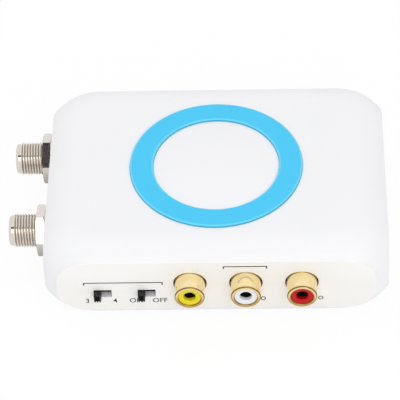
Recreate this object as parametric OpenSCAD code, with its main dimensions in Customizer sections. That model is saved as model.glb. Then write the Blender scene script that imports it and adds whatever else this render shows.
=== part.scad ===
// Table-top RF modulator: a pillow-shaped case with a ring on the lid, two threaded
// antenna sockets on the left, two slide switches and three phono jacks in front.
// X runs to the right, Y to the rear and Z up. The origin is under the middle of the
// case, on the plane that the rubber feet stand on.

/* [Case] */
// Width of the case at its widest
body_w = 100.8; // [97:0.2:108]
// Depth of the case at its widest
body_d = 75.2; // [73:0.2:84]
// Height of the case without its feet
body_h = 25; // [24.6:0.1:29]
// Corner radius seen from above
plan_r = 16; // [14:0.5:18]
// Radius of the upper edge
top_r = 11; // [8:0.5:11.5]
// Radius of the lower edge
bottom_r = 10; // [8:0.5:11]
// Depth of the flats cut into the left and right sides
side_cut = 2.7; // [2:0.1:3.4]
// Depth of the flats cut into the front and rear
end_cut = 3.2; // [2.4:0.1:3.8]
// Wall thickness of the upper shell
wall = 2; // [1.6:0.1:2.4]
// Thickness of the lid
lid_t = 2.4; // [2:0.1:3]
// Thickness of the bottom cover
floor_t = 2; // [1.6:0.1:2.4]
// Height of the seam over the underside of the case
seam_h = 2.6; // [2.4:0.1:3]
// Height that the feet stand proud of the case
foot_proud = 0.8; // [0.6:0.1:1.4]

/* [Ring and dome] */
// Outer radius of the accent ring
ring_outer_r = 24.4; // [23:0.1:26]
// Inner radius of the accent ring
ring_inner_r = 17.75; // [16:0.05:19]
// Height of the ring over the lid
ring_proud = 0.7; // [0.3:0.05:0.8]
// Depth of the groove that the ring sits in
ring_seat = 1; // [0.6:0.1:1.2]
// Rise of the domed centre over the lid
dome_rise = 1.4; // [0.8:0.1:2]

/* [Antenna sockets] */
// Radius over the socket thread
socket_r = 4.76; // [4.6:0.01:4.9]
// How far the sockets stand out of the left flat
socket_proud = 10.75; // [9:0.05:13]
// Distance of the front socket from the screened box's front wall
socket_front_in = 7; // [6.6:0.1:8]
// Distance of the rear socket from the screened box's rear wall
socket_rear_in = 4.8; // [4.6:0.1:6.6]
// Width of the hex nuts across flats
nut_af = 12.7; // [12:0.1:13]
// Thickness of the hex nuts
nut_t = 2.4; // [2:0.1:3]

/* [Phono jacks] */
// Outer radius of the jack shells
jack_r = 4.15; // [4:0.05:4.2]
// How far the shells stand out of the front flat
jack_proud = 5.55; // [5:0.05:7]
// Place of the video jack across the front
video_jack_at = -7.2; // [-8:0.1:-6]
// Distance from jack to jack
jack_spacing = 15.4; // [14.5:0.1:16]
// Radius of the hole that takes the plug's pin
jack_bore_r = 1.7; // [1.6:0.05:1.8]

/* [Slide switches] */
// Place of the channel switch across the front
channel_switch_at = -31.5; // [-32:0.1:-31]
// Place of the power switch across the front
power_switch_at = -19.3; // [-19.6:0.1:-19]
// Travel of the sliding knobs
knob_travel = 2.8; // [2.4:0.1:3]
// Width of a knob
knob_w = 2; // [1.6:0.1:2.2]
// Height of a knob
knob_h = 2.2; // [1.8:0.1:2.4]
// How far a knob stands out of the front flat
knob_proud = 2.4; // [2:0.1:3]

/* [Rear sockets] */
// Place of the digital video input across the rear
input_at = 4; // [0:0.5:6]
// Distance of the power jack's block from the screw post beside it
power_from_post = 1.7; // [1:0.1:3]
// Radius of the power jack's mouth
power_bore_r = 3; // [2.8:0.1:3.1]
// Radius of the power jack's centre pin
power_pin_r = 1.05; // [1:0.05:1.25]

/* [Board] */
// Thickness of the printed board
board_t = 1.6; // [1.2:0.1:2]
// Height of the pillars under the board
pillar_h = 2.6; // [2.4:0.1:3]
// Height of the jacks' axis over the board
jack_axis_h = 7.2; // [6.8:0.1:7.4]
// Height of the antenna sockets' axis over the board
socket_axis_h = 6.6; // [6.4:0.1:7]
// Room over the screened box, under the lid
can_room = 2; // [1.8:0.1:2.4]

/* [Hidden] */

$fn = 96;
over = 1;

// Clearances
slip_gap = 0.1;
snug_gap = 0.05;
lip_gap = 0.15;
board_gap = 0.9;
post_gap = 0.5;
jack_gap = 0.15;
jack_side_gap = 0.35;
wall_gap = 0.2;

// Places across and along are drawn for a case of this width and depth, and keep their share of it
drawn_w = 100.8;
drawn_d = 75.2;
x_share = body_w / drawn_w;
y_share = body_d / drawn_d;

// Planes that everything else hangs on
case_z = foot_proud;
seam_z = case_z + seam_h;
floor_z = case_z + floor_t;
lid_z = case_z + body_h;
lid_under_z = lid_z - lid_t;
flat_x = body_w / 2 - side_cut;
flat_y = body_d / 2 - end_cut;
inner_x = flat_x - wall;
inner_y = flat_y - wall;
inner_corner_r = 10.5;
board_z = floor_z + pillar_h;
board_top = board_z + board_t;
jack_z = board_top + jack_axis_h;
socket_z = board_top + socket_axis_h;

// Screw posts, bosses and feet
post_r = 3;
post_inset = 10.5;
post_x = flat_x - post_inset;
post_y = flat_y - post_inset;
boss_h = 1.6;
boss_top = floor_z + boss_h;
screw_r = 1.3;
screw_len = 8;
screw_head_r = 2.6;
screw_head_h = 1.5;
head_sink = 0.3;
drive_w = 0.5;
drive_len = 3;
drive_depth = 0.8;
foot_r = 4.5;
foot_seat = 0.8;
foot_edge_r = 0.4;
foot_x = 24.5 * x_share;
foot_y = 21.5 * y_share;
lip_t = 1.2;
lip_h = 1.5;
CORNERS = [[1, 1], [-1, 1], [-1, -1], [1, -1]];

// Board outline and fixings
board_x = inner_x - board_gap;
board_y = inner_y - board_gap;
board_corner_r = 10;
board_screw_r = 1.1;
board_screw_head_r = 2.1;
board_screw_head_h = 1.2;
pillar_r = 2.6;
board_fixings = [[-13 * x_share, -15 * y_share], [39 * x_share, 4 * y_share]];
board_rests = [[-30 * x_share, 27 * y_share], [16 * x_share, 20 * y_share]];
tail_w = 0.7;
tail_t = 0.35;
tail_poke = 0.8;
tail_hole_r = 0.55;

// Antenna sockets
can_post_gap = 0.9;
can_wall_y = post_y - post_r - can_post_gap;
can_rear_spare = 0.6;
can_front = -can_wall_y;
can_rear = can_wall_y + can_rear_spare;
socket_ys = [can_front + socket_front_in, can_rear - socket_rear_in];
socket_tip_x = -flat_x - socket_proud;
seat_relief = 0.3;
collar_r = 4.35;
collar_len = 1.6;
collar_edge = 0.5;
flange_r = 5.4;
flange_t = 1.3;
crimp_r = 4;
crimp_len = 1.2;
washer_t = 0.5;
washer_r = 5.7;
nut_edge = 0.5;
nut_turns = [45, 53];
socket_bore_r = 3.1;
insulator_sink = 0.7;
pin_hole_r = 0.65;
socket_contact_r = 1.2;
insulator_len = 9;
socket_tail_r = 0.45;
socket_tail_len = 2.5;

// Screened box
can_t = 0.5;
can_left = -inner_x + flange_t + snug_gap;
can_len_x = 24 * x_share;
can_lid_t = 0.4;
can_h = lid_under_z - board_top - can_lid_t - can_room;
can_skirt = 1.5;
can_tab_inset = 6;
can_divider_y = 6 * y_share;

// Phono jacks
jack_first_x = video_jack_at * x_share;
jack_pitch = jack_spacing * x_share;
jack_hole_r = jack_r + jack_gap;
jack_tip_y = -flat_y - jack_proud;
jack_shell_t = 0.75;
jack_edge_r = 0.45;
jack_inner_r = jack_r - jack_shell_t;
jack_lip_t = 0.35;
jack_mouth_r = 3.05;
funnel_r = 2.2;
funnel_t = 0.3;
jack_root = 3;
jack_root_r = jack_r - seat_relief;
jack_contact_r = 2.25;
jack_contact_len = 5.8;
jack_contact_end = 0.5;
jack_block_w = 10.2;
jack_block_d = 11;
jack_block_top = 5.6;
jack_block_y = -inner_y + wall_gap;
ground_plate_w = 3;

// Slide switches
channel_switch_x = channel_switch_at * x_share;
power_switch_x = power_switch_at * x_share;
sheet_t = 0.4;
switch_axis_h = 3.4;
switch_z = board_top + switch_axis_h;
switch_h = 2 * switch_axis_h;
switch_d = 4.2;
switch_y = -inner_y + wall_gap;
slider_w = 5.5;
slider_t = 1.6;
switch_w = slider_w + knob_travel + 2 * (slip_gap + sheet_t);
slot_margin = 0.3;
slot_end_gap = 0.1;
frame_slot_w = knob_w + knob_travel + 2 * slot_end_gap;
frame_slot_h = knob_h + 2 * slip_gap;
panel_slot_w = frame_slot_w;
panel_slot_h = knob_h + 2 * slot_margin;
ridge_depth = 0.55;
ridge_share = 0.7;
valley_share = 0.35;
clip_t = 0.25;
clip_w = 5;
clip_h = 2.6;
clip_dimple_r = 0.2;
switch_base_t = 1.4;
terminal_pitch = 3;
terminal_back = 1;
terminal_pad = 0.1;

// Digital video input
input_x = input_at * x_share;
input_w = 15;
input_h = 6;
input_d = 11;
input_t = 0.35;
input_chamfer = 1.4;
input_lift = 0.3;
input_sink = 0.3;
input_gap = 0.3;
input_tab_back = 6;
tongue_w = 11.6;
tongue_t = 1.1;
tongue_gap = 1.3;
input_back_t = 2.2;
contact_count = 10;
contact_w = 0.5;
contact_t = 0.12;

// Power jack
power_axis_h = 6.6;
power_z = board_top + power_axis_h;
power_block_w = 9;
power_x = post_x - post_r - power_from_post - power_block_w / 2;
power_block_d = 13;
power_block_top = 4.2;
power_nose_r = 3.9;
power_nose_sink = 0.3;
power_bore_len = 9.5;
power_pin_sink = 1.5;
power_root_r = power_pin_r - seat_relief;
power_strip_w = 2.4;
power_spring_back = 6;

// Parts on the board
qfp_w = 14;
qfp_h = 1.5;
qfp_x = 3 * x_share;
qfp_y = 2 * y_share;
lead_t = 0.2;
lead_w = 0.35;
lead_out = 1;
lead_pitch = 1.2;
leads_side = 10;
soic_w = 4;
soic_len = 10;
soic_x = can_left + can_len_x / 2;
soic_y = can_divider_y - soic_len / 2 - lead_out;
soic_leads = 8;
regulator_w = 6.6;
regulator_d = 3.6;
regulator_h = 1.6;
regulator_x = 25 * x_share;
regulator_y = 10 * y_share;
crystal_w = 10;
crystal_d = 4;
crystal_h = 3.6;
crystal_x = -8 * x_share;
crystal_y = 15 * y_share;
capacitor_r = 3;
capacitor_h = 7.5;
capacitor_edge = 0.4;
capacitor_spots = [[33 * x_share, -15 * y_share], [33 * x_share, -7 * y_share],
    [17 * x_share, 9 * y_share]];
choke_r = 3.4;
choke_h = 3;
choke_core_r = 1.5;
choke_spots = [[22 * x_share, -8 * y_share], [13 * x_share, -13 * y_share]];
passive_w = 1.6;
passive_d = 0.8;
passive_h = 0.5;
passive_rows = 3;
passive_cols = 4;
passive_step_x = 3;
passive_step_y = 2.2;
passive_x = 24 * x_share;
passive_y = 0;

// Colours
white = [0.96, 0.96, 0.97];
cyan = [0.33, 0.79, 0.95];
nickel = [0.78, 0.75, 0.7];
gold = [0.9, 0.74, 0.38];
black = [0.08, 0.08, 0.09];
steel = [0.7, 0.71, 0.72];
board_green = [0.05, 0.33, 0.18];
amber = [0.55, 0.3, 0.12];

// A quadrant of square stock outside a rounding of radius r, from the rounding's centre
module spandrel(r) {
    difference() {
        square([r + over, r + over]);
        circle(r);
    }
}

// The section of a slab w wide and h high whose four edges are rounded
module slab_section(w, h, top, bottom) {
    difference() {
        translate([-w / 2, 0]) square([w, h]);
        for (side = [0, 1]) mirror([side, 0]) {
            translate([w / 2 - top, h - top]) spandrel(top);
            if (bottom > 0)
                translate([w / 2 - bottom, bottom]) mirror([0, 1]) spandrel(bottom);
        }
    }
}

// A box with rounded corners in plan and rounded upper and lower edges
module pillow(w, d, h, corner, top, bottom) {
    rotate([90, 0, 90])
        linear_extrude(w - 2 * corner, center = true) slab_section(d, h, top, bottom);
    rotate([90, 0, 0])
        linear_extrude(d - 2 * corner, center = true) slab_section(w, h, top, bottom);
    for (turn = [0 : 3])
        translate([CORNERS[turn][0] * (w / 2 - corner), CORNERS[turn][1] * (d / 2 - corner), 0])
            rotate([0, 0, 90 * turn])
                rotate_extrude(angle = 90)
                    intersection() {
                        slab_section(2 * corner, h, top, bottom);
                        square([corner, h]);
                    }
}

// A flat plate with rounded corners in plan
module rounded_plate(x, y, r, t) {
    linear_extrude(t) {
        square([2 * x, 2 * (y - r)], center = true);
        square([2 * (x - r), 2 * y], center = true);
        for (c = CORNERS) translate([c[0] * (x - r), c[1] * (y - r)]) circle(r);
    }
}

// A disc or rod along Z whose upper rim is rounded
module rimmed_rod(r, h, edge) {
    rotate_extrude() {
        square([r - edge, h]);
        square([r, h - edge]);
        intersection() {
            translate([r - edge, h - edge]) circle(edge);
            square([r, h]);
        }
    }
}

module corner_spots(x, y) {
    for (c = CORNERS) translate([c[0] * x, c[1] * y, 0]) children();
}

// Things that point out of the front: local Z runs forward, towards -Y
module facing_front(x, y, z) {
    translate([x, y, z]) rotate([90, 0, 0]) children();
}

// Things that point out of the rear: local Z runs to the rear
module facing_rear(x, y, z) {
    translate([x, y, z]) rotate([-90, 0, 0]) children();
}

// Things that point out of the left side: local Z runs towards -X
module facing_left(x, y, z) {
    translate([x, y, z]) rotate([0, -90, 0]) children();
}

// The outside of the whole case, with its four flats
module case_form() {
    intersection() {
        translate([0, 0, case_z]) pillow(body_w, body_d, body_h, plan_r, top_r, bottom_r);
        translate([-flat_x, -flat_y, case_z]) cube([2 * flat_x, 2 * flat_y, body_h]);
    }
}

// The hollow of the upper shell: even walls above, straight walls below for the mould
module case_hollow() {
    intersection() {
        translate([0, 0, case_z])
            pillow(body_w - 2 * wall, body_d - 2 * wall, body_h - lid_t,
                plan_r - wall, top_r - wall, 0);
        translate([0, 0, case_z - over])
            rounded_plate(inner_x, inner_y, inner_corner_r, body_h + over);
    }
}

module ring_groove() {
    translate([0, 0, lid_z - ring_seat])
        rotate_extrude()
            translate([ring_inner_r - snug_gap, 0])
                square([ring_outer_r - ring_inner_r + 2 * snug_gap, ring_seat + over]);
}

ring_mid_r = (ring_outer_r + ring_inner_r) / 2;
ring_edge_share = 0.6;
peg_r = 0.8;
peg_len = 1.8;
PEGS = [30, 150, 270];

module ring_pegs(r, from_z, len) {
    for (a = PEGS) rotate([0, 0, a]) translate([ring_mid_r, 0, from_z]) cylinder(r = r, h = len);
}

// The domed centre inside the ring, as a cap of a large sphere
dome_r = ring_inner_r - snug_gap;
dome_ball_r = (dome_r * dome_r + dome_rise * dome_rise) / (2 * dome_rise);
module dome() {
    rotate_extrude()
        intersection() {
            translate([0, lid_z + dome_rise - dome_ball_r]) circle(dome_ball_r, $fn = 720);
            translate([0, lid_z - lid_t / 2]) square([dome_r, lid_t / 2 + dome_rise]);
        }
}

// The hole for a jack, a little wider than it is high
module jack_opening() {
    for (s = [-1, 1]) translate([s * jack_side_gap, 0]) circle(jack_hole_r);
    square([2 * jack_side_gap, 2 * jack_hole_r], center = true);
}

module input_outline(grow) {
    w = input_w / 2 + grow;
    h = input_h / 2 + grow;
    cut = input_chamfer;
    polygon([[-w, h], [-w, cut - h], [cut - w, -h], [w - cut, -h], [w, cut - h], [w, h]]);
}

input_z = board_top + input_lift + input_h / 2;

module top_cover() {
    color(white)
    difference() {
        union() {
            difference() {
                intersection() {
                    case_form();
                    translate([-body_w, -body_d, seam_z]) cube([2 * body_w, 2 * body_d, body_h]);
                }
                case_hollow();
                ring_groove();
            }
            dome();
            corner_spots(post_x, post_y)
                translate([0, 0, boss_top]) cylinder(r = post_r, h = lid_under_z - boss_top + lid_t / 2);
        }
        corner_spots(post_x, post_y)
            translate([0, 0, boss_top - over])
                cylinder(r = screw_r + snug_gap, h = screw_len + 2 * over);
        ring_pegs(peg_r + snug_gap, lid_under_z - over, lid_t + over);
        for (y = socket_ys)
            facing_left(-inner_x + over, y, socket_z) cylinder(r = socket_r + slip_gap, h = wall + 2 * over);
        for (i = [0 : 2])
            facing_front(jack_first_x + i * jack_pitch, -inner_y + over, jack_z)
                linear_extrude(wall + 2 * over) jack_opening();
        for (x = [channel_switch_x, power_switch_x])
            translate([x - panel_slot_w / 2, -flat_y - over, switch_z - panel_slot_h / 2])
                cube([panel_slot_w, wall + 2 * over, panel_slot_h]);
        facing_rear(power_x, inner_y - over, power_z)
            cylinder(r = power_nose_r + slip_gap, h = wall + 2 * over);
        translate([input_x, inner_y - over, input_z]) rotate([90, 0, 180])
            linear_extrude(wall + 2 * over) input_outline(input_gap);
    }
}

module bottom_cover() {
    color(white)
    difference() {
        union() {
            difference() {
                intersection() {
                    case_form();
                    translate([-body_w, -body_d, case_z]) cube([2 * body_w, 2 * body_d, seam_h]);
                }
                translate([0, 0, floor_z])
                    rounded_plate(inner_x - lip_gap - lip_t, inner_y - lip_gap - lip_t,
                        inner_corner_r - lip_gap - lip_t, seam_h);
            }
            difference() {
                translate([0, 0, floor_z])
                    rounded_plate(inner_x - lip_gap, inner_y - lip_gap, inner_corner_r - lip_gap,
                        seam_h - floor_t + lip_h);
                translate([0, 0, floor_z - over])
                    rounded_plate(inner_x - lip_gap - lip_t, inner_y - lip_gap - lip_t,
                        inner_corner_r - lip_gap - lip_t, seam_h + lip_h + over);
            }
            corner_spots(post_x, post_y)
                translate([0, 0, case_z + floor_t / 2]) cylinder(r = post_r, h = boss_top - case_z - floor_t / 2);
            for (p = concat(board_fixings, board_rests))
                translate([p[0], p[1], case_z + floor_t / 2])
                    cylinder(r = pillar_r, h = board_z - case_z - floor_t / 2);
        }
        corner_spots(post_x, post_y) {
            translate([0, 0, case_z - over]) cylinder(r = screw_r + slip_gap, h = boss_top + over);
            translate([0, 0, case_z - over])
                cylinder(r = screw_head_r + slip_gap, h = head_sink + screw_head_h + over);
        }
        corner_spots(foot_x, foot_y)
            translate([0, 0, case_z - over]) cylinder(r = foot_r + slip_gap, h = foot_seat + over);
        for (p = board_fixings)
            translate([p[0], p[1], floor_z]) cylinder(r = board_screw_r + snug_gap, h = pillar_h + over);
    }
}

module accent_ring() {
    width = ring_outer_r - ring_inner_r;
    height = ring_seat + ring_proud;
    edge = ring_proud * ring_edge_share;
    color(cyan) {
        translate([0, 0, lid_z - ring_seat])
            rotate_extrude()
                translate([ring_inner_r + width / 2, 0])
                    slab_section(width, height, edge, 0);
        ring_pegs(peg_r, lid_z - ring_seat - peg_len, peg_len + ring_seat);
    }
}

// A pan-head screw along Z, its head below and its shank above
module pan_screw(r, len, head_r, head_h) {
    difference() {
        union() {
            cylinder(r = r, h = head_h + len);
            translate([0, 0, head_h]) mirror([0, 0, 1]) rimmed_rod(head_r, head_h, head_h / 2);
        }
        for (a = [0, 90]) rotate([0, 0, a])
            translate([-drive_len / 2, -drive_w / 2, -over]) cube([drive_len, drive_w, drive_depth + over]);
    }
}

module case_screws() {
    color(steel)
    corner_spots(post_x, post_y)
        translate([0, 0, case_z + head_sink]) pan_screw(screw_r, screw_len, screw_head_r, screw_head_h);
}

module rubber_feet() {
    color(black)
    corner_spots(foot_x, foot_y)
        translate([0, 0, case_z + foot_seat]) mirror([0, 0, 1])
            rimmed_rod(foot_r, foot_seat + foot_proud, foot_edge_r);
}

// Places of the soldered tails that go down through the board
switch_tail_y = switch_y + switch_d + terminal_back - tail_t / 2;
jack_ground_y = jack_block_y + jack_root - tail_t;
jack_contact_y = jack_block_y + jack_contact_len - tail_t;
power_block_y = inner_y - wall_gap;
power_pin_y = power_block_y - power_block_d - tail_t / 2;
power_spring_y = power_block_y - power_spring_back;
input_tab_x = input_w / 2 - tail_t / 2;
input_tab_y = flat_y - input_sink - input_tab_back;
tail_spots = concat(
    [for (x = [channel_switch_x, power_switch_x], i = [-1 : 1]) [x + i * terminal_pitch, switch_tail_y]],
    [for (i = [0 : 2], y = [jack_ground_y, jack_contact_y]) [jack_first_x + i * jack_pitch, y]],
    [for (y = [power_pin_y, power_spring_y]) [power_x, y]],
    [for (s = [-1, 1]) [input_x + s * input_tab_x, input_tab_y]],
    [for (x = [can_left + can_tab_inset, can_left + can_len_x - can_tab_inset],
        y = [can_front + can_t / 2, can_rear - can_t / 2]) [x, y]]
);

// A flat strip standing on the board, with a soldered tail through it
module tail_strip(w, top) {
    translate([-w / 2, -tail_t / 2, board_top]) cube([w, tail_t, top - board_top]);
    translate([-tail_w / 2, -tail_t / 2, board_z - tail_poke])
        cube([tail_w, tail_t, board_t + tail_poke + over / 2]);
}

// The slot in a moulded block that such a strip stands in
module strip_slot(w, top) {
    translate([-w / 2 - snug_gap, -tail_t / 2 - snug_gap, board_top - over])
        cube([w + 2 * snug_gap, tail_t + 2 * snug_gap, top - board_top + over]);
}

module circuit_board() {
    color(board_green)
    difference() {
        translate([0, 0, board_z]) rounded_plate(board_x, board_y, board_corner_r, board_t);
        corner_spots(post_x, post_y)
            translate([0, 0, board_z - over]) cylinder(r = post_r + post_gap, h = board_t + 2 * over);
        for (p = board_fixings)
            translate([p[0], p[1], board_z - over])
                cylinder(r = board_screw_r + slip_gap, h = board_t + 2 * over);
        for (p = tail_spots)
            translate([p[0], p[1], board_z - over]) cylinder(r = tail_hole_r, h = board_t + 2 * over, $fn = 32);
    }
}

module board_screws() {
    color(steel)
    for (p = board_fixings)
        translate([p[0], p[1], board_top + board_screw_head_h]) mirror([0, 0, 1])
            pan_screw(board_screw_r, board_t + pillar_h - snug_gap,
                board_screw_head_r, board_screw_head_h);
}

// A row of flat leads along X, stepping out of a package in -Y
module lead_row(count, pitch) {
    for (i = [0 : count - 1])
        translate([(i - (count - 1) / 2) * pitch - lead_w / 2, -lead_out, 0])
            cube([lead_w, lead_out + lead_w, lead_t]);
}

module converter_chip() {
    color(black)
    translate([qfp_x, qfp_y, board_top]) {
        translate([-qfp_w / 2, -qfp_w / 2, 0]) cube([qfp_w, qfp_w, qfp_h]);
        for (a = [0 : 90 : 270]) rotate([0, 0, a]) translate([0, -qfp_w / 2, 0])
            lead_row(leads_side, lead_pitch);
    }
}

module modulator_chip() {
    color(black)
    translate([soic_x, soic_y, board_top]) {
        translate([-soic_w / 2, -soic_len / 2, 0]) cube([soic_w, soic_len, qfp_h]);
        for (a = [90, 270]) rotate([0, 0, a]) translate([0, -soic_w / 2, 0])
            lead_row(soic_leads, lead_pitch);
    }
}

module regulator_chip() {
    color(black)
    translate([regulator_x, regulator_y, board_top]) {
        translate([-regulator_w / 2, -regulator_d / 2, 0])
            cube([regulator_w, regulator_d, regulator_h]);
        translate([-regulator_w / 4, regulator_d / 2 - over, 0])
            cube([regulator_w / 2, lead_out + over, lead_t]);
        translate([0, -regulator_d / 2, 0]) lead_row(3, 2 * lead_pitch);
    }
}

module crystal() {
    color(steel)
    translate([crystal_x, crystal_y, board_top])
        rounded_plate(crystal_w / 2, crystal_d / 2, crystal_d / 2 - snug_gap, crystal_h);
}

module filter_capacitors() {
    color([0.1, 0.13, 0.3])
    for (p = capacitor_spots)
        translate([p[0], p[1], board_top]) rimmed_rod(capacitor_r, capacitor_h, capacitor_edge);
}

module choke_coils() {
    color(black)
    for (p = choke_spots)
        translate([p[0], p[1], board_top])
            difference() {
                cylinder(r = choke_r, h = choke_h);
                translate([0, 0, choke_h / 2]) cylinder(r = choke_core_r, h = choke_h);
            }
}

module chip_passives() {
    color(amber)
    for (i = [0 : passive_cols - 1], j = [0 : passive_rows - 1])
        translate([passive_x + i * passive_step_x - passive_w / 2,
            passive_y + j * passive_step_y - passive_d / 2, board_top])
            cube([passive_w, passive_d, passive_h]);
}

// Screened box: four sheet walls with a partition and tabs on the board
module rf_can_frame() {
    color(steel)
    difference() {
        union() {
            difference() {
                translate([can_left, can_front, board_top]) cube([can_len_x, can_rear - can_front, can_h]);
                translate([can_left + can_t, can_front + can_t, board_top - over])
                    cube([can_len_x - 2 * can_t, can_rear - can_front - 2 * can_t, can_h + 2 * over]);
            }
            translate([can_left + can_t / 2, can_divider_y, board_top])
                cube([can_len_x - can_t, can_t, can_h - can_skirt]);
            for (x = [can_left + can_tab_inset, can_left + can_len_x - can_tab_inset],
                y = [can_front + can_t / 2, can_rear - can_t / 2])
                translate([x, y, 0]) tail_strip(tail_w, board_top + over);
        }
        for (y = socket_ys)
            facing_left(can_left + can_t + over, y, socket_z)
                cylinder(r = crimp_r + snug_gap, h = can_t + 2 * over);
    }
}

module rf_can_lid() {
    grow = snug_gap + can_lid_t;
    top = board_top + can_h;
    color(steel)
    difference() {
        translate([can_left - grow, can_front - grow, top - can_skirt])
            cube([can_len_x + 2 * grow, can_rear - can_front + 2 * grow, can_skirt + can_lid_t]);
        translate([can_left - snug_gap, can_front - snug_gap, top - can_skirt - over])
            cube([can_len_x + 2 * snug_gap, can_rear - can_front + 2 * snug_gap, can_skirt + over]);
    }
}

// One antenna socket's barrel along local Z, its tip up: crimp, flange, thread, collar
module socket_barrel() {
    thread_from = inner_x;
    nut_face = flat_x + washer_t + nut_t;
    tip = -socket_tip_x;
    difference() {
        union() {
            translate([0, 0, thread_from - flange_t]) cylinder(r = flange_r, h = flange_t);
            translate([0, 0, thread_from - flange_t - snug_gap - can_t - crimp_len])
                cylinder(r = crimp_r, h = crimp_len + can_t + snug_gap + over);
            translate([0, 0, thread_from - over])
                cylinder(r = socket_r - seat_relief, h = nut_face - thread_from + 2 * over);
            translate([0, 0, nut_face]) cylinder(r = socket_r, h = tip - collar_len - nut_face);
            translate([0, 0, tip - collar_len - over])
                rimmed_rod(collar_r, collar_len + over, collar_edge);
        }
        translate([0, 0, thread_from - flange_t - can_t - crimp_len - over])
            cylinder(r = socket_bore_r, h = tip);
    }
}

module socket_barrels() {
    color(nickel)
    for (y = socket_ys) facing_left(0, y, socket_z) socket_barrel();
}

module socket_washers() {
    color(nickel)
    for (y = socket_ys)
        facing_left(-flat_x, y, socket_z)
            difference() {
                cylinder(r = washer_r, h = washer_t);
                translate([0, 0, -over]) cylinder(r = socket_r + slip_gap, h = washer_t + 2 * over);
            }
}

// A hex nut along Z with its outer corners turned down on both faces
module hex_nut() {
    corner_r = nut_af / 2 / cos(30);
    difference() {
        intersection() {
            cylinder(r = corner_r, h = nut_t, $fn = 6);
            rotate_extrude()
                polygon([[0, 0], [corner_r - nut_edge, 0], [corner_r, nut_edge / 2],
                    [corner_r, nut_t - nut_edge / 2], [corner_r - nut_edge, nut_t], [0, nut_t]]);
        }
        translate([0, 0, -over]) cylinder(r = socket_r + snug_gap, h = nut_t + 2 * over);
    }
}

module socket_nuts() {
    color(nickel)
    for (i = [0, 1])
        facing_left(-flat_x - washer_t, socket_ys[i], socket_z)
            rotate([0, 0, nut_turns[i]]) hex_nut();
}

module socket_insulators() {
    color(white)
    for (y = socket_ys)
        facing_left(socket_tip_x + insulator_sink + insulator_len, y, socket_z)
            difference() {
                cylinder(r = socket_bore_r - snug_gap, h = insulator_len);
                translate([0, 0, -over]) cylinder(r = socket_contact_r + snug_gap, h = insulator_len);
                translate([0, 0, -over]) cylinder(r = pin_hole_r, h = insulator_len + 2 * over);
            }
}

// The sprung sleeve that grips the cable's centre wire, with its tail into the box
module socket_contacts() {
    start = socket_tip_x + insulator_sink + over;
    end = can_left + can_t + crimp_len + socket_tail_len;
    color(gold)
    for (y = socket_ys) {
        facing_left(start + insulator_len - over, y, socket_z)
            difference() {
                cylinder(r = socket_contact_r, h = insulator_len - over);
                translate([0, 0, over]) cylinder(r = pin_hole_r, h = insulator_len);
            }
        facing_left(end, y, socket_z)
            cylinder(r = socket_tail_r, h = end - start - insulator_len + over + over / 2);
    }
}

// Phono jack pieces along local Z, from the moulded block's front face to the tip
jack_reach = jack_block_y - jack_tip_y;
insert_len = jack_reach - jack_lip_t - snug_gap;

// A tube with a rounded rim that turns in over the insert
module jack_shell() {
    rotate_extrude()
        difference() {
            union() {
                translate([0, -jack_root]) square([jack_root_r, jack_root + jack_reach - jack_edge_r]);
                translate([0, jack_reach - jack_proud]) square([jack_r, jack_proud - jack_edge_r]);
                square([jack_r - jack_edge_r, jack_reach]);
                translate([jack_r - jack_edge_r, jack_reach - jack_edge_r]) circle(jack_edge_r);
            }
            translate([-over, -jack_root - over])
                square([jack_inner_r + over, jack_root + jack_reach - jack_lip_t + over]);
            translate([-over, -over]) square([jack_mouth_r + over, jack_reach + 2 * over]);
        }
}

module jack_insert() {
    difference() {
        cylinder(r = jack_inner_r - snug_gap, h = insert_len);
        translate([0, 0, -over]) cylinder(r = jack_bore_r, h = insert_len + 2 * over);
        translate([0, 0, insert_len - funnel_t])
            cylinder(r1 = jack_bore_r, r2 = funnel_r, h = funnel_t);
    }
}

module at_jack(i) {
    facing_front(jack_first_x + i * jack_pitch, jack_block_y, jack_z) children();
}

module video_jack_shell() { color(gold) at_jack(0) jack_shell(); }
module left_jack_shell() { color(gold) at_jack(1) jack_shell(); }
module right_jack_shell() { color(gold) at_jack(2) jack_shell(); }
module video_jack_insert() { color([0.93, 0.85, 0.1]) at_jack(0) jack_insert(); }
module left_jack_insert() { color([0.95, 0.95, 0.96]) at_jack(1) jack_insert(); }
module right_jack_insert() { color([0.85, 0.13, 0.1]) at_jack(2) jack_insert(); }

module jack_housings() {
    color(black)
    for (i = [0 : 2]) {
        x = jack_first_x + i * jack_pitch;
        difference() {
            translate([x - jack_block_w / 2, jack_block_y, board_top])
                cube([jack_block_w, jack_block_d, jack_axis_h + jack_block_top]);
            at_jack(i)
                rotate_extrude()
                    translate([jack_inner_r - snug_gap, -jack_root])
                        square([jack_root_r - jack_inner_r + 2 * snug_gap, jack_root + over]);
            at_jack(i)
                translate([0, 0, -jack_contact_len])
                    cylinder(r = jack_contact_r + snug_gap, h = jack_contact_len + over);
            translate([x, jack_ground_y, 0]) strip_slot(ground_plate_w, jack_z - jack_root_r);
            translate([x, jack_contact_y, 0]) strip_slot(tail_w, jack_z);
        }
    }
}

// The sprung sleeves that grip the plugs' pins, each with its tail
module jack_contacts() {
    color(gold)
    for (i = [0 : 2])
        difference() {
            union() {
                at_jack(i) translate([0, 0, -jack_contact_len]) cylinder(r = jack_contact_r, h = jack_contact_len);
                translate([jack_first_x + i * jack_pitch, jack_contact_y, 0])
                    tail_strip(tail_w, jack_z - (jack_bore_r + jack_contact_r) / 2);
            }
            at_jack(i)
                translate([0, 0, jack_contact_end - jack_contact_len])
                    cylinder(r = jack_bore_r, h = jack_contact_len);
        }
}

// The strips that ground the shells, standing under their roots
module jack_ground_tails() {
    color(steel)
    for (i = [0 : 2])
        translate([jack_first_x + i * jack_pitch, jack_ground_y, 0])
            tail_strip(ground_plate_w, jack_z - jack_root_r - snug_gap);
}

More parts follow.
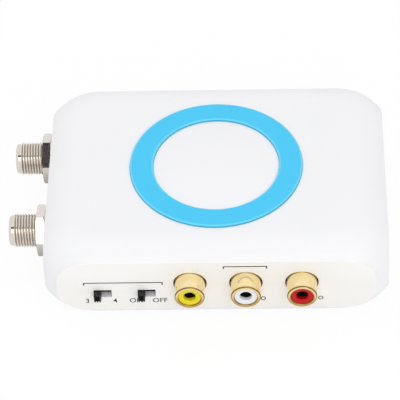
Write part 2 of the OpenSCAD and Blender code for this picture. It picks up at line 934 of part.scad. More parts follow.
// Slide switch pieces, about the middle of the slot: x across, y to the rear, z up
module at_switch(x) {
    translate([x, switch_y, switch_z]) children();
}

module switch_frame() {
    difference() {
        translate([-switch_w / 2, 0, -switch_axis_h]) cube([switch_w, switch_d, switch_h]);
        translate([-switch_w / 2 + sheet_t, sheet_t, -switch_axis_h + sheet_t])
            cube([switch_w - 2 * sheet_t, switch_d + over, switch_h - 2 * sheet_t]);
        translate([-frame_slot_w / 2, -over, -frame_slot_h / 2])
            cube([frame_slot_w, sheet_t + 2 * over, frame_slot_h]);
    }
}

module switch_base() {
    inset = sheet_t + snug_gap;
    difference() {
        translate([-switch_w / 2 + inset, switch_d - switch_base_t, -switch_axis_h + inset])
            cube([switch_w - 2 * inset, switch_base_t, switch_h - 2 * inset]);
        for (i = [-1 : 1])
            translate([i * terminal_pitch - tail_w / 2 - snug_gap, -over, -tail_t / 2 - snug_gap])
                cube([tail_w + 2 * snug_gap, switch_d + 2 * over, tail_t + 2 * snug_gap]);
    }
}

// Three pads that pass through the base and turn down to their tails
module switch_terminals(x) {
    for (i = [-1 : 1]) {
        translate([x + i * terminal_pitch, switch_tail_y, 0]) tail_strip(tail_w, switch_z + tail_t / 2);
        translate([x + i * terminal_pitch - tail_w / 2,
            switch_y + switch_d - switch_base_t - terminal_pad, switch_z - tail_t / 2])
            cube([tail_w, switch_base_t + terminal_pad + terminal_back, tail_t]);
    }
}

// The knob stands at the left end of its slot at rest
knob_rest_x = -knob_travel / 2;
knob_tip = knob_proud + wall + wall_gap;

module switch_knob() {
    w = knob_w / 2;
    root = sheet_t + slip_gap + slider_t / 2;
    valley = ridge_depth - knob_tip;
    translate([knob_rest_x, 0, 0]) {
        translate([-slider_w / 2, sheet_t + slip_gap, -switch_axis_h + sheet_t + slip_gap])
            cube([slider_w, slider_t, switch_h - 2 * (sheet_t + slip_gap)]);
        translate([0, 0, -knob_h / 2])
            linear_extrude(knob_h)
                polygon([[-w, root], [-w, valley], [-w * ridge_share, -knob_tip],
                    [-w * valley_share, valley], [0, -knob_tip], [w * valley_share, valley],
                    [w * ridge_share, -knob_tip], [w, valley], [w, root]]);
    }
}

module switch_clip() {
    translate([knob_rest_x, sheet_t + slip_gap + slider_t, 0]) {
        translate([-clip_w / 2, 0, -clip_h / 2]) cube([clip_w, clip_t, clip_h]);
        for (s = [-1, 1])
            translate([s * (clip_w / 2 - clip_h / 4), clip_t, -clip_h / 4])
                cylinder(r = clip_dimple_r, h = clip_h / 2);
    }
}

module channel_switch_frame() { color(steel) at_switch(channel_switch_x) switch_frame(); }
module channel_switch_base() { color(amber) at_switch(channel_switch_x) switch_base(); }
module channel_switch_terminals() { color(steel) switch_terminals(channel_switch_x); }
module channel_switch_knob() { color(black) at_switch(channel_switch_x) switch_knob(); }
module channel_switch_clip() { color(gold) at_switch(channel_switch_x) switch_clip(); }
module power_switch_frame() { color(steel) at_switch(power_switch_x) switch_frame(); }
module power_switch_base() { color(amber) at_switch(power_switch_x) switch_base(); }
module power_switch_terminals() { color(steel) switch_terminals(power_switch_x); }
module power_switch_knob() { color(black) at_switch(power_switch_x) switch_knob(); }
module power_switch_clip() { color(gold) at_switch(power_switch_x) switch_clip(); }

// Digital video input: a folded shell round a tongue with contacts on both faces
module at_input() {
    translate([input_x, flat_y - input_sink, input_z]) rotate([90, 0, 180]) mirror([0, 0, 1]) children();
}

module input_shell() {
    color(steel) {
        at_input()
            difference() {
                linear_extrude(input_d) input_outline(0);
                translate([0, 0, -over]) linear_extrude(input_d + 2 * over) input_outline(-input_t);
            }
        for (s = [-1, 1])
            translate([input_x + s * input_tab_x, input_tab_y, 0]) tail_strip(tail_w, input_z);
    }
}

module input_tongue() {
    color(black)
    at_input() {
        translate([0, 0, input_d - input_back_t])
            linear_extrude(input_back_t) input_outline(-input_t - snug_gap);
        translate([-tongue_w / 2, -tongue_t / 2, tongue_gap])
            cube([tongue_w, tongue_t, input_d - input_back_t - tongue_gap + over]);
    }
}

module input_contacts() {
    pitch = tongue_w / contact_count;
    color(gold)
    at_input()
        for (i = [0 : contact_count - 1], s = [0, 1]) mirror([0, s, 0])
            translate([(i - (contact_count - 1) / 2) * pitch - contact_w / 2, tongue_t / 2, 2 * tongue_gap])
                cube([contact_w, contact_t, input_d - input_back_t - 2 * tongue_gap]);
}

// Power jack: a moulded block whose nose fills the hole in the rear wall
power_nose = wall + wall_gap - power_nose_sink;

module power_jack_housing() {
    color(black)
    difference() {
        union() {
            translate([power_x - power_block_w / 2, power_block_y - power_block_d, board_top])
                cube([power_block_w, power_block_d, power_axis_h + power_block_top]);
            facing_rear(power_x, power_block_y - over, power_z)
                rimmed_rod(power_nose_r, power_nose + over, power_nose_sink);
        }
        facing_rear(power_x, power_block_y + power_nose - power_bore_len, power_z)
            cylinder(r = power_bore_r, h = power_bore_len + over);
        facing_rear(power_x, power_block_y - power_block_d - over, power_z)
            cylinder(r = power_root_r + snug_gap, h = power_block_d);
        translate([power_x, power_spring_y, 0]) strip_slot(power_strip_w, power_z - power_bore_r + over / 2);
    }
}

// The centre pin, held by the block's inner end, with its tail behind the block
module power_jack_pin() {
    color(nickel) {
        facing_rear(power_x, power_block_y - power_block_d - tail_t, power_z)
            cylinder(r = power_root_r, h = power_block_d);
        facing_rear(power_x, power_block_y + power_nose - power_bore_len, power_z)
            rimmed_rod(power_pin_r, power_bore_len - power_pin_sink, power_pin_r / 2);
        translate([power_x, power_pin_y, 0]) tail_strip(power_strip_w, power_z);
    }
}

// The leaf that touches the plug's sleeve from below
module power_jack_spring() {
    color(steel)
    translate([power_x, power_spring_y, 0]) tail_strip(power_strip_w, power_z - power_bore_r);
}

top_cover();
bottom_cover();
accent_ring();
case_screws();
rubber_feet();
circuit_board();
board_screws();
converter_chip();
modulator_chip();
regulator_chip();
crystal();
filter_capacitors();
choke_coils();
chip_passives();
rf_can_frame();
rf_can_lid();
socket_barrels();
socket_nuts();
socket_washers();
socket_insulators();
socket_contacts();
video_jack_shell();
left_jack_shell();
right_jack_shell();
video_jack_insert();
left_jack_insert();
right_jack_insert();
jack_housings();
jack_contacts();
jack_ground_tails();
channel_switch_frame();
channel_switch_base();
channel_switch_terminals();
channel_switch_knob();
channel_switch_clip();
power_switch_frame();
power_switch_base();
power_switch_terminals();
power_switch_knob();
power_switch_clip();
input_shell();
input_tongue();
input_contacts();
power_jack_housing();
power_jack_pin();
power_jack_spring();
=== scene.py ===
"""Looks of the RF modulator: finishes, cut threads, rolled sleeves, prints and the photo's view."""
import math

import bmesh
import bpy
from mathutils import Matrix, Vector


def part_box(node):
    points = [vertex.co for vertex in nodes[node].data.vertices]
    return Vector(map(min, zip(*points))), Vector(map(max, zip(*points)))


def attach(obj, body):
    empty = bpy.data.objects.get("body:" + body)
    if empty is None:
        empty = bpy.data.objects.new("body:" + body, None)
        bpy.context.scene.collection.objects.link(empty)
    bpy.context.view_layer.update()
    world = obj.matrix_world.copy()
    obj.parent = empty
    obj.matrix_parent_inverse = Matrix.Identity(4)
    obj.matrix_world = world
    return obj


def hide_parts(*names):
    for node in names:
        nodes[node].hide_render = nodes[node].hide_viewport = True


MM = 0.001

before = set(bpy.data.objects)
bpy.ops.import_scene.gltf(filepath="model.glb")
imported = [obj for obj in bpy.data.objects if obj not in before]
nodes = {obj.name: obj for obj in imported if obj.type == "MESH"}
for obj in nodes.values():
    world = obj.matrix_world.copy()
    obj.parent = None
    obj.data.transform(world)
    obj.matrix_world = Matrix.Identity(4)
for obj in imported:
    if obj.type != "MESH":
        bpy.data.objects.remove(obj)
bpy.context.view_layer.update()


def span(node):
    """Lowest corner, highest corner and middle of a CAD node."""
    low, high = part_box(node)
    return low, high, (low + high) / 2


# Places of the visible pieces, read from the CAD nodes
case_low, _, case_mid = span("top_cover")
front_y = case_low.y
seam_z = case_low.z
left_x = case_low.x
barrel_low, barrel_high, barrel_mid = span("socket_barrels")

# Side sockets
SOCKET_R = 4.76 * MM
SOCKET_BORE_R = 3.1 * MM
COLLAR_R = 4.35 * MM
COLLAR_LEN = 1.6 * MM
COLLAR_EDGE = 0.8 * MM
FLANGE_R = 5.4 * MM
FLANGE_FROM = 1.75 * MM
FLANGE_T = 1.3 * MM
CRIMP_R = 4.0 * MM
THREAD_PITCH = 25.4 / 32 * MM
socket_z = barrel_mid.z
socket_ys = (barrel_low.y + FLANGE_R, barrel_high.y - FLANGE_R)

# Ring on the lid
RING_OUTER_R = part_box("accent_ring")[1].x
RING_INNER_R = 17.75 * MM

# Phono jacks and switches
JACK_NAMES = ("video_jack", "left_jack", "right_jack")
JACK_R = 4.15 * MM
JACK_INNER_R = 3.4 * MM
JACK_MOUTH_R = 3.05 * MM
JACK_BORE_R = 1.7 * MM
SWITCH_NAMES = ("channel_switch", "power_switch")

# Prints on the front
PRINT_T = 0.03 * MM
PRINT_LOW_Z = 6.6 * MM
PRINT_TALL = 1.75 * MM
LINE_T = 0.33 * MM
LEG = 1.1 * MM
MARK_Z = 7.8 * MM
MARK_R = 0.74 * MM
MARK_T = 0.28 * MM

# Photograph's camera, in the frame of the part
IMAGE_PX = 400
FOCAL_PX = 2298.8
SENSOR = 36.0
CAMERA_DISTANCE = 656.9 * MM
CAMERA_PITCH = math.radians(45.81)
CAMERA_YAW = math.radians(2.76)
CAMERA_ROLL = math.radians(-2.68)
CAMERA_AIM = Vector((-4.96 * MM, -1.07 * MM, 12.8 * MM))

# Studio
WHITE = (1.0, 1.0, 1.0, 1.0)
AMBIENT = 0.62
FLOOR_REACH = 4.0
FLOOR_Z = -0.02 * MM
FLOOR_GLOW_SEEN = 0.93
FLOOR_GLOW_MIRRORED = 0.5
CARD_DISTANCE = 0.7


class Value:
    """A shader value: Python's operators on it add Math nodes to its tree."""

    def __init__(self, tree, socket):
        self.tree = tree
        self.socket = socket

    def math(self, operation, *others, clamp=False):
        node = self.tree.nodes.new("ShaderNodeMath")
        node.operation = operation
        node.use_clamp = clamp
        for slot, value in enumerate((self, *others)):
            connect(self.tree, node.inputs[slot], value)
        return Value(self.tree, node.outputs[0])

    def __add__(self, other):
        return self.math("ADD", other)

    def __mul__(self, other):
        return self.math("MULTIPLY", other)

    def __sub__(self, other):
        return self.math("SUBTRACT", other)

    def __truediv__(self, other):
        return self.math("DIVIDE", other)

    def __rsub__(self, other):
        return (self * -1.0) + other

    __radd__ = __add__
    __rmul__ = __mul__

    def clamped(self):
        """The same value, kept between 0 and 1."""
        return self.math("ADD", 0.0, clamp=True)

    def above(self, edge, width):
        """0 below the edge and 1 above it, with a smooth step between."""
        node = self.tree.nodes.new("ShaderNodeMapRange")
        node.interpolation_type = "SMOOTHSTEP"
        connect(self.tree, node.inputs["Value"], self)
        connect(self.tree, node.inputs["From Min"], edge - width / 2)
        connect(self.tree, node.inputs["From Max"], edge + width / 2)
        return Value(self.tree, node.outputs[0])


def connect(tree, socket, value):
    """Links a value to a socket, or sets a plain number, colour or vector on it."""
    if isinstance(value, Value):
        tree.links.new(value.socket, socket)
    else:
        socket.default_value = value


def length(across, up):
    """Distance from an axis, from two offsets at right angles to it."""
    return (across * across + up * up).math("SQRT")


class Tree:
    """A node tree that is written one call a node."""

    def __init__(self, tree):
        self.tree = tree

    def node(self, kind, settings=None, inputs=None, output=0):
        """Adds a node: its settings first, then the values or links of its inputs."""
        made = self.tree.nodes.new(kind)
        for key, value in (settings or {}).items():
            setattr(made, key, value)
        for key, value in (inputs or {}).items():
            connect(self.tree, made.inputs[key], value)
        return Value(self.tree, made.outputs[output])

    def split(self, vector):
        parts = self.tree.nodes.new("ShaderNodeSeparateXYZ")
        connect(self.tree, parts.inputs[0], vector)
        return [Value(self.tree, out) for out in parts.outputs]


class Finish(Tree):
    """A material on one Principled shader, with its surface written as expressions."""

    def __init__(self, name):
        self.material = bpy.data.materials.new(name)
        self.material.use_nodes = True
        super().__init__(self.material.node_tree)
        self.shader = self.tree.nodes["Principled BSDF"]
        self.place = self.node("ShaderNodeTexCoord", output="Object")

    def noise(self, scale, detail=2.0, roughness=0.5):
        return self.node("ShaderNodeTexNoise", None,
                         {"Vector": self.place, "Scale": scale, "Detail": detail,
                          "Roughness": roughness}, "Fac")

    def cloud(self, scale=260.0):
        return self.noise(scale, 3.0, 0.6)

    def axes(self):
        return self.split(self.place)

    def mix(self, share, low, high):
        """A colour between two colours."""
        made = self.tree.nodes.new("ShaderNodeMix")
        made.data_type = "RGBA"
        connect(self.tree, made.inputs[0], share)
        connect(self.tree, made.inputs[6], low)
        connect(self.tree, made.inputs[7], high)
        return Value(self.tree, made.outputs[2])

    def bump(self, height, depth):
        """Normal from a height of 0 to 1 that stands for depth metres."""
        return self.node("ShaderNodeBump", None,
                         {"Strength": 1.0, "Distance": depth, "Height": height})

    def surface(self, **sockets):
        for name, value in sockets.items():
            connect(self.tree, self.shader.inputs[name.replace("_", " ")], value)
        return self.material

    def metal(self, tone, roughness, streak_scale=1500.0, depth=0.003 * MM):
        """Metal with a fine uneven polish."""
        streak = self.noise(streak_scale, 4.0, 0.7)
        return self.surface(
            Base_Color=tone,
            Metallic=1.0,
            Roughness=streak * 0.16 + roughness,
            Normal=self.bump(streak, depth))


def rgb(red, green, blue):
    """A colour written in 0-255 steps of the screen, as linear light."""
    def linear(step):
        share = step / 255
        return share / 12.92 if share <= 0.04045 else ((share + 0.055) / 1.055) ** 2.4
    return (linear(red), linear(green), linear(blue), 1.0)


def moulded(name, color, shade, roughness, grain_scale, grain_depth):
    """Injection-moulded plastic: faint tone drift, fine spark-eroded grain."""
    finish = Finish(name)
    drift = finish.noise(35.0)
    grain = finish.cloud(grain_scale)
    return finish.surface(
        Base_Color=finish.mix(drift, shade, color),
        Roughness=grain * 0.12 + (roughness - 0.06),
        Normal=finish.bump(grain, grain_depth))


def case_white():
    """Cool white case plastic, a touch warmer on the flat front panel and with painted light on its
    upper part, greyer along the seam.
    """
    finish = Finish("case_white")
    _, y, z = finish.axes()
    near_front = 1.0 - y.above(front_y + 0.6 * MM, 1.2 * MM)
    panel = near_front * z.above(seam_z + 1.2 * MM, 1.0 * MM)
    flat = 1.0 - y.above(front_y + 0.08 * MM, 0.08 * MM)
    # painted light: the upper part of the front panel is lighter in colour, standing in for light
    # that the jacks keep from it
    painted_light_top = z.above(16.0 * MM, 6.0 * MM)
    seam = 1.0 - (z - seam_z).math("ABSOLUTE").above(0.13 * MM, 0.1 * MM)
    drift = finish.noise(22.0)
    grain = finish.cloud(4200.0)
    body = finish.mix(drift, rgb(243, 243, 246), rgb(247, 247, 249))
    face = finish.mix(drift, rgb(246, 244, 241), rgb(249, 247, 245))
    # rgb(250, 249, 247) is the painted light on the upper front panel
    front = finish.mix(flat, rgb(244, 243, 242), finish.mix(painted_light_top, face, rgb(250, 249, 247)))
    return finish.surface(
        Base_Color=finish.mix(seam, finish.mix(panel, body, front), rgb(188, 188, 192)),
        Roughness=grain * 0.1 + 0.3,
        Normal=finish.bump(grain, 0.004 * MM))


def jack_insert(name, color, shade, node):
    """Glossy moulded insert, its deep bore painted near-black as painted shade, standing in for the
    shade in the contact hole.
    """
    finish = Finish(name)
    x, y, z = finish.axes()
    low, _, middle = span(node)
    from_axis = length(x - middle.x, z - middle.z)
    # painted shade: deep inside the bore the insert's colour turns near-black, where the real hole
    # is only in shade
    shallow = 1.0 - y.above(low.y + 1.3 * MM, 0.3 * MM)
    wall = from_axis.above(JACK_BORE_R + 0.12 * MM, 0.1 * MM).math("MAXIMUM", shallow)
    drift = finish.noise(900.0)
    finish.shader.inputs["Specular IOR Level"].default_value = 0.25
    return finish.surface(
        # rgb(16, 12, 12) is the painted shade of the bore
        Base_Color=finish.mix(wall, rgb(16, 12, 12), finish.mix(drift, shade, color)),
        Roughness=wall * -0.45 + 0.8 + drift * 0.08,
        Normal=finish.bump(drift, 0.003 * MM))


def switch_tin(name, node):
    """Tinned switch frame, its face that shows through the panel's slot painted near-black as
    painted shade.
    """
    finish = Finish(name)
    _, y, _ = finish.axes()
    # painted shade: the front face of the frame is near-black where it shows through the slot
    face = 1.0 - y.above(span(node)[0].y + 0.45 * MM, 0.05 * MM)
    cloud = finish.cloud(500.0)
    return finish.surface(
        Base_Color=finish.mix(face, rgb(196, 196, 192), rgb(14, 14, 15)),
        Metallic=1.0 - face,
        Roughness=cloud * 0.2 + 0.3 + face * 0.3,
        Normal=finish.bump(cloud, 0.003 * MM))


def thread_nickel():
    """Polished nickel plate, with painted shade in the roots of the thread, and duller on the
    collar.
    """
    finish = Finish("thread_nickel")
    x, y, z = finish.axes()
    front_r, rear_r = (length(y - middle, z - socket_z) for middle in socket_ys)
    from_axis = front_r.math("MINIMUM", rear_r)
    cut = 1.0 - from_axis.above(SOCKET_R - 0.27 * MM, 0.16 * MM)
    collar_x = barrel_low.x + COLLAR_LEN
    along = x.above(collar_x + 0.15 * MM, 0.2 * MM)
    outside = from_axis.above(SOCKET_BORE_R + 0.5 * MM, 0.1 * MM)
    # painted shade: the roots of the thread are darker in colour
    root_painted_shade = cut * along * outside
    collar = 1.0 - x.above(collar_x - 0.2 * MM, 0.8 * MM)
    crest = finish.mix(finish.cloud(), rgb(238, 232, 226), rgb(228, 221, 213))
    plate = finish.mix(collar, crest, rgb(220, 212, 202))
    return finish.metal(finish.mix(root_painted_shade, plate, rgb(180, 171, 160)), root_painted_shade * 0.1 + 0.04)


def nut_nickel():
    """Nickel plate of the nuts and washers, with painted shade on the flats that face the table and
    painted light on the upper flats.
    """
    finish = Finish("nut_nickel")
    # painted light and shade: flats above the socket axis lighter, flats below it darker
    lit = finish.axes()[2].above(socket_z, 8.0 * MM)
    tone = finish.mix(lit, rgb(180, 174, 167), rgb(230, 224, 216))
    return finish.metal(finish.mix(finish.cloud() * 0.3, tone, rgb(192, 186, 179)), 0.04)


def plated(name, color, tint, roughness, streak_scale):
    """Plain plated metal, its tone drifting between two colours."""
    finish = Finish(name)
    return finish.metal(finish.mix(finish.cloud(), color, tint), roughness, streak_scale)


def sleeve_gold(name, node):
    """Pale gold plate, with painted shade on the bead, deepest on its lower half, and darker
    painted shade along its outer edge and its mouth.
    """
    finish = Finish(name)
    x, y, z = finish.axes()
    low, _, middle = span(node)
    up = z - middle.z
    from_axis = length(x - middle.x, up)
    depth = y - low.y
    # painted shade: a dark line along the outer edge of the bead and round its mouth
    outer = from_axis.above(JACK_R - 0.24 * MM, 0.14 * MM)
    rim_painted_shade = outer * (1.0 - depth.above(0.46 * MM, 0.2 * MM))
    mouth = 1.0 - from_axis.above(JACK_MOUTH_R + 0.2 * MM, 0.2 * MM)
    # painted shade: the bead is deeper in tone than the sleeve behind it
    bead = 1.0 - depth.above(0.5 * MM, 0.3 * MM)
    wall = finish.mix(finish.cloud(), rgb(252, 233, 184), rgb(245, 221, 164))
    # painted shade: darker again on the lower half of the bead, lighter on its upper half
    front = finish.mix(up.above(0.0, 4.0 * MM), rgb(190, 160, 98), rgb(240, 218, 164))
    tone = finish.mix(rim_painted_shade.math("MAXIMUM", mouth), finish.mix(bead, wall, front), rgb(134, 104, 52))
    return finish.metal(tone, 0.08, depth=0.002 * MM)


def ring_plastic():
    """Cyan plastic, with a painted highlight along its rounded edges and painted shade where its
    walls meet the lid.
    """
    finish = Finish("ring_cyan")
    x, y, z = finish.axes()
    crown = span("accent_ring")[1].z - 0.24 * MM
    from_middle = (length(x, y) - (RING_OUTER_R + RING_INNER_R) / 2).math("ABSOLUTE")
    # painted highlight: paler cyan along the rounded edges
    edge = from_middle.above((RING_OUTER_R - RING_INNER_R) / 2 - 0.5 * MM, 0.3 * MM)
    # painted shade: deeper cyan where the walls meet the lid
    foot = 1.0 - z.above(crown, 0.24 * MM)
    drift = finish.noise(35.0)
    grain = finish.cloud(3800.0)
    face = finish.mix(drift, rgb(60, 199, 246), rgb(68, 205, 249))
    rounded = finish.mix(edge, face, rgb(104, 217, 251))
    return finish.surface(
        Base_Color=finish.mix(foot, rounded, rgb(48, 174, 220)),
        Roughness=grain * 0.12 + 0.26,
        Normal=finish.bump(grain, 0.004 * MM))


def board_mask():
    """Green solder resist with copper tracks showing faintly through it."""
    finish = Finish("board_mask")
    cells = finish.node("ShaderNodeTexVoronoi",
                        {"distance": "MANHATTAN", "feature": "DISTANCE_TO_EDGE"},
                        {"Vector": finish.place, "Scale": 320.0})
    track = 1.0 - cells.above(0.09, 0.05)
    fibre = finish.noise(1800.0)
    return finish.surface(
        Base_Color=finish.mix(track, rgb(10, 86, 48), rgb(26, 118, 66)),
        Roughness=fibre * 0.15 + 0.28,
        Normal=finish.bump(track, 0.02 * MM))


def paint(material, *names):
    for name in names:
        mesh = nodes[name].data
        mesh.materials.clear()
        mesh.materials.append(material)


paint(case_white(), "top_cover", "bottom_cover")
paint(ring_plastic(), "accent_ring")
paint(moulded("foot_rubber", rgb(38, 38, 40), rgb(30, 30, 32), 0.75, 2600.0, 0.02 * MM),
      "rubber_feet")
paint(moulded("moulded_black", rgb(22, 22, 24), rgb(16, 16, 18), 0.45, 3600.0, 0.008 * MM),
      "converter_chip", "modulator_chip", "regulator_chip", "choke_coils", "jack_housings",
      "input_tongue", "power_jack_housing")
paint(moulded("knob_black", rgb(14, 14, 15), rgb(8, 8, 9), 0.5, 3600.0, 0.006 * MM),
      "channel_switch_knob", "power_switch_knob")
paint(moulded("laminate_brown", rgb(120, 76, 40), rgb(104, 62, 32), 0.6, 2200.0, 0.01 * MM),
      "channel_switch_base", "power_switch_base")
paint(moulded("chip_ceramic", rgb(150, 112, 76), rgb(132, 98, 66), 0.5, 3000.0, 0.004 * MM),
      "chip_passives")
paint(moulded("capacitor_sleeve", rgb(34, 44, 92), rgb(28, 36, 80), 0.3, 2400.0, 0.003 * MM),
      "filter_capacitors")
paint(moulded("insulator_white", rgb(236, 235, 228), rgb(228, 226, 218), 0.45, 3000.0, 0.004 * MM),
      "socket_insulators")
paint(jack_insert("insert_yellow", rgb(240, 226, 30), rgb(232, 214, 22), "video_jack_insert"),
      "video_jack_insert")
paint(jack_insert("insert_white", rgb(244, 244, 246), rgb(236, 236, 240), "left_jack_insert"),
      "left_jack_insert")
paint(jack_insert("insert_red", rgb(204, 14, 10), rgb(186, 10, 8), "right_jack_insert"),
      "right_jack_insert")
barrel_nickel = thread_nickel()
paint(barrel_nickel, "socket_barrels")
paint(nut_nickel(), "socket_nuts", "socket_washers")
paint(plated("contact_gilt", rgb(226, 186, 104), rgb(206, 164, 84), 0.22, 1200.0),
      "socket_contacts", "jack_contacts", "channel_switch_clip", "power_switch_clip",
      "input_contacts")
paint(plated("tin_plate", rgb(204, 204, 200), rgb(182, 182, 178), 0.26, 900.0),
      "rf_can_frame", "rf_can_lid", "crystal", "jack_ground_tails", "channel_switch_terminals",
      "power_switch_terminals", "power_jack_spring", "input_shell", "power_jack_pin")
paint(plated("screw_zinc", rgb(176, 176, 178), rgb(150, 150, 154), 0.26, 1300.0),
      "case_screws", "board_screws")
paint(board_mask(), "circuit_board")
jack_golds = {name: sleeve_gold(name + "_gold", name + "_shell") for name in JACK_NAMES}
for name in JACK_NAMES:
    paint(jack_golds[name], name + "_shell")
for name in SWITCH_NAMES:
    paint(switch_tin(name + "_tin", name + "_frame"), name + "_frame")


def shell_mesh(name, faces_and_points, material, smooth_angle=35.0):
    """A mesh object whose doubles are merged and whose normals point outwards."""
    points, faces = faces_and_points
    mesh = bpy.data.meshes.new(name)
    mesh.from_pydata(points, [], faces)
    work = bmesh.new()
    work.from_mesh(mesh)
    bmesh.ops.remove_doubles(work, verts=work.verts, dist=1e-7)
    bmesh.ops.dissolve_degenerate(work, dist=1e-8, edges=work.edges)
    bmesh.ops.recalc_face_normals(work, faces=work.faces)
    work.to_mesh(mesh)
    work.free()
    mesh.shade_smooth()
    mesh.set_sharp_from_angle(angle=math.radians(smooth_angle))
    mesh.materials.append(material)
    return linked(name, mesh)


def linked(name, data):
    """An object of this mesh, light or camera, linked to the scene."""
    made = bpy.data.objects.new(name, data)
    bpy.context.scene.collection.objects.link(made)
    return made


def lathe(outline, origin, along, steps=72):
    """Turns a closed outline of (radius, distance) about the line from origin along a direction."""
    along = along.normalized()
    side = along.cross(Vector((0, 0, 1)))
    up = side.cross(along)
    points, faces = [], []
    count = len(outline)
    for step in range(steps):
        angle = 2 * math.pi * step / steps
        out = side * math.cos(angle) + up * math.sin(angle)
        for radius, distance in outline:
            points.append(origin + along * distance + out * radius)
    for step in range(steps):
        here, there = step * count, (step + 1) % steps * count
        for spot in range(count):
            after = (spot + 1) % count
            faces.append((here + spot, here + after, there + after, there + spot))
    return points, faces


def arc(middle_r, middle_d, size, start, end, steps=8):
    """Points (radius, distance) on an arc; 0 degrees points away from the axis, 90 along it."""
    turns = [math.radians(start + (end - start) * step / steps) for step in range(steps + 1)]
    return [(middle_r + size * math.cos(turn), middle_d + size * math.sin(turn)) for turn in turns]


def jack_sleeve(name, node, finish):
    """Gold sleeve of a phono jack, its mouth rolled over into a round bead."""
    low, high, middle = span(node)
    reach = high.y - low.y
    bead = (JACK_R - JACK_MOUTH_R) / 2
    outline = ([(JACK_INNER_R, 0.0), (JACK_R - 0.02 * MM, 0.0), (JACK_R, 0.02 * MM),
                (JACK_R, reach - 1.3 * MM), (JACK_R - 0.06 * MM, reach - 1.05 * MM)]
               + arc(JACK_R - bead, reach - bead, bead, -30, 180, 16)
               + [(JACK_MOUTH_R, reach - 1.1 * MM), (JACK_INNER_R, reach - 1.2 * MM)])
    back = Vector((middle.x, high.y, middle.z))
    sleeve = shell_mesh(name, lathe(outline, back, Vector((0, -1, 0)), 96), finish)
    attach(sleeve, "housing")
    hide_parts(node)


class Rule(Tree):
    """A Geometry Nodes tree: its sizes are named inputs, and it ends in plain, finished mesh."""

    def __init__(self, name, sizes):
        super().__init__(bpy.data.node_groups.new(name, "GeometryNodeTree"))
        face = self.tree.interface
        for way in ("OUTPUT", "INPUT"):
            face.new_socket(name="Geometry", in_out=way, socket_type="NodeSocketGeometry")
        self.sizes = sizes
        self.keys = {}
        for size, value in sizes.items():
            kind = "NodeSocketInt" if isinstance(value, int) else "NodeSocketFloat"
            socket = face.new_socket(name=size, in_out="INPUT", socket_type=kind)
            self.keys[size] = socket.identifier
        self.given = self.tree.nodes.new("NodeGroupInput")

    def size(self, name):
        return Value(self.tree, self.given.outputs[name])

    def finish(self, geometry, material):
        plain = self.node("GeometryNodeRealizeInstances", None, {"Geometry": geometry})
        dressed = self.node("GeometryNodeSetMaterial", None,
                            {"Geometry": plain, "Material": material})
        result = self.tree.nodes.new("NodeGroupOutput")
        connect(self.tree, result.inputs["Geometry"], dressed)

    def grow(self, name, blank):
        """Runs the tree on a blank object and returns the result as a plain mesh object."""
        modifier = blank.modifiers.new(self.tree.name, "NODES")
        modifier.node_group = self.tree
        for size, key in self.keys.items():
            modifier[key] = self.sizes[size]
        evaluated = blank.evaluated_get(bpy.context.evaluated_depsgraph_get())
        mesh = bpy.data.meshes.new_from_object(evaluated)
        blank.modifiers.remove(modifier)
        bpy.data.objects.remove(blank)
        mesh.name = name
        mesh.shade_smooth()
        return linked(name, mesh)


def thread_rule(first_y, back_x, sizes):
    """Cuts a thread into a turned blank along -X, and repeats the blank along Y."""
    rule = Rule("socket_thread", sizes)
    x, y, z = rule.split(rule.node("GeometryNodeInputPosition"))
    across, up = y - first_y, z - socket_z
    distance = back_x - x
    pitch = rule.size("Thread Pitch")
    start, stop = rule.size("Thread Start"), rule.size("Thread Stop")
    turned = up.math("ARCTAN2", across) / (2 * math.pi)
    wave = (((distance - start) / pitch + turned).math("FRACT") * 2.0 - 1.0).math("ABSOLUTE")
    flank = ((wave - rule.size("Crest Share")) / rule.size("Flank Share")).clamped()
    run_in = (distance - start) / (pitch * 0.5)
    run_out = (stop - distance) / (pitch * 0.35)
    ease = run_in.math("MINIMUM", run_out).clamped()
    cut = rule.size("Thread Depth") * flank * ease / length(across, up) * -1.0
    offset = rule.node("ShaderNodeCombineXYZ", None, {"Y": across * cut, "Z": up * cut})
    threaded = rule.node("GeometryNodeSetPosition", None,
                         {"Geometry": rule.size("Geometry"), "Offset": offset})
    step = rule.node("ShaderNodeCombineXYZ", None, {"Y": rule.size("Spacing")})
    places = rule.node("GeometryNodeMeshLine", {"mode": "OFFSET"},
                       {"Count": rule.size("Count"), "Offset": step})
    rule.finish(rule.node("GeometryNodeInstanceOnPoints", None,
                          {"Points": places, "Instance": threaded}), barrel_nickel)
    return rule


